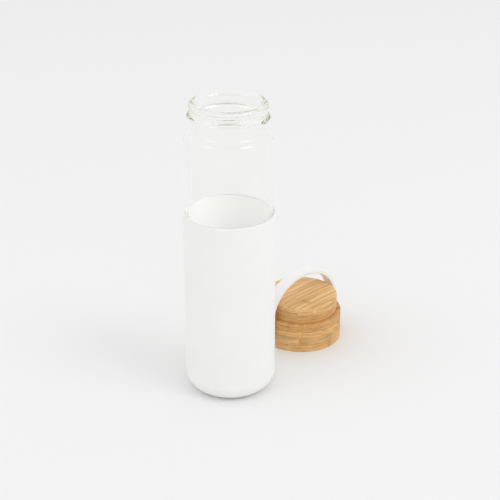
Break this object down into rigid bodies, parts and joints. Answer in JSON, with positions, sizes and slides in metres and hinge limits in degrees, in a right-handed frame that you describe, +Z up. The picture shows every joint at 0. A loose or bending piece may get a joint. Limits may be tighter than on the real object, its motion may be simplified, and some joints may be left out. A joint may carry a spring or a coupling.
{
  "type": "glass water bottle",
  "caption": "Wide-mouth glass water bottle in a silicone sleeve, with a threaded bamboo screw lid and carry strap standing beside it.",
  "frame": {"origin": "centre of the bottle's base, on the surface it stands on", "axes": "+Z up along the bottle's axis; +X along the span of the carry strap, towards the side where the lid stands"},
  "size_m": [0.1703, 0.0857, 0.2295],
  "materials": {
    "sleeve_silicone": "matte moulded silicone",
    "clear_glass": "clear, faint green at the edges",
    "bamboo": "laminated bamboo, light oil",
    "liner_plastic": "moulded polypropylene",
    "gasket_silicone": "soft translucent white",
    "stud_plastic": "moulded, satin",
    "strap_silicone": "matte moulded silicone"
  },
  "bodies": {
    "sleeve": {"silicone_sleeve": "sleeve_silicone"},
    "bottle": {"glass_bottle": "clear_glass"},
    "lid": {"bamboo_ring_ply_1": "bamboo", "bamboo_ring_ply_2": "bamboo", "bamboo_ring_ply_3": "bamboo", "bamboo_ring_ply_4": "bamboo", "bamboo_top_ply_1": "bamboo", "bamboo_top_ply_2": "bamboo", "lid_liner": "liner_plastic", "lid_gasket": "gasket_silicone", "strap_stud_left": "stud_plastic", "strap_stud_right": "stud_plastic"},
    "strap": {"carry_strap": "strap_silicone"}
  },
  "joints": [
    {"name": "bottle_from_sleeve", "type": "slide", "parent": "sleeve", "child": "bottle", "axis": [0, 0, 1], "range_m": [0, 0.15]},
    {"name": "lid_lift", "type": "slide", "parent": "sleeve", "child": "lid", "axis": [0, 0, 1], "range_m": [0, 0.24]},
    {"name": "strap_swing", "type": "hinge", "parent": "lid", "child": "strap", "pos_m": [0.09565, 0.01775, 0.0153], "axis": [1, 0, 0], "range_deg": [-90, 90]}
  ]
}
